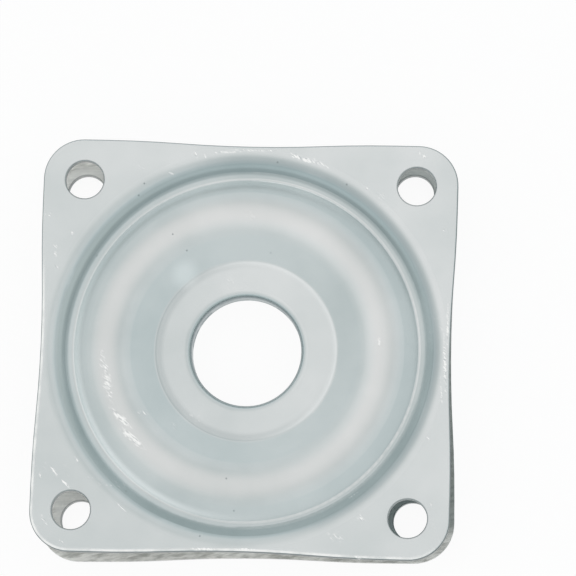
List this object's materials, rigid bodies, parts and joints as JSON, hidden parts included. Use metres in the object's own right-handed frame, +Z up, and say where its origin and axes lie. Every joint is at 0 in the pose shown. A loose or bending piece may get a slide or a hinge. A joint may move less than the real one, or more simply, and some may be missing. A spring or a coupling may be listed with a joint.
{
  "type": "lazy susan bearing",
  "caption": "Thin square turntable bearing: two dished steel plates with screw holes at the corners turn on each other over a ring of loose balls.",
  "frame": {"origin": "on the turning axis, at the lower plate's mounting face", "axes": "+Z up the turning axis to the upper plate's mounting face; +X and +Y along the lower plate's sides, with the picture's right and top"},
  "size_m": [0.0516, 0.0516, 0.008],
  "materials": {
    "zinc_plated_steel": "satin bluish-white zinc plating on pressed sheet, with light rub marks",
    "ball_steel": "polished bearing balls"
  },
  "bodies": {
    "lower_plate": {"lower_plate": "zinc_plated_steel"},
    "upper_plate": {"upper_plate": "zinc_plated_steel"},
    "ball_ring": {"ball_01": "ball_steel", "ball_02": "ball_steel", "ball_03": "ball_steel", "ball_04": "ball_steel", "ball_05": "ball_steel", "ball_06": "ball_steel", "ball_07": "ball_steel", "ball_08": "ball_steel", "ball_09": "ball_steel", "ball_10": "ball_steel", "ball_11": "ball_steel", "ball_12": "ball_steel", "ball_13": "ball_steel", "ball_14": "ball_steel", "ball_15": "ball_steel", "ball_16": "ball_steel", "ball_17": "ball_steel", "ball_18": "ball_steel"}
  },
  "joints": [
    {"name": "turn", "type": "hinge", "parent": "lower_plate", "child": "upper_plate", "pos_m": [0, 0, 0.004], "axis": [0, 0, 1], "continuous": true},
    {"name": "ball_orbit", "type": "hinge", "parent": "lower_plate", "child": "ball_ring", "pos_m": [0, 0, 0.004], "axis": [0, 0, 1], "continuous": true}
  ],
  "couplings": [
    {"joint": "ball_orbit", "follows": "turn", "ratio": 0.5}
  ]
}
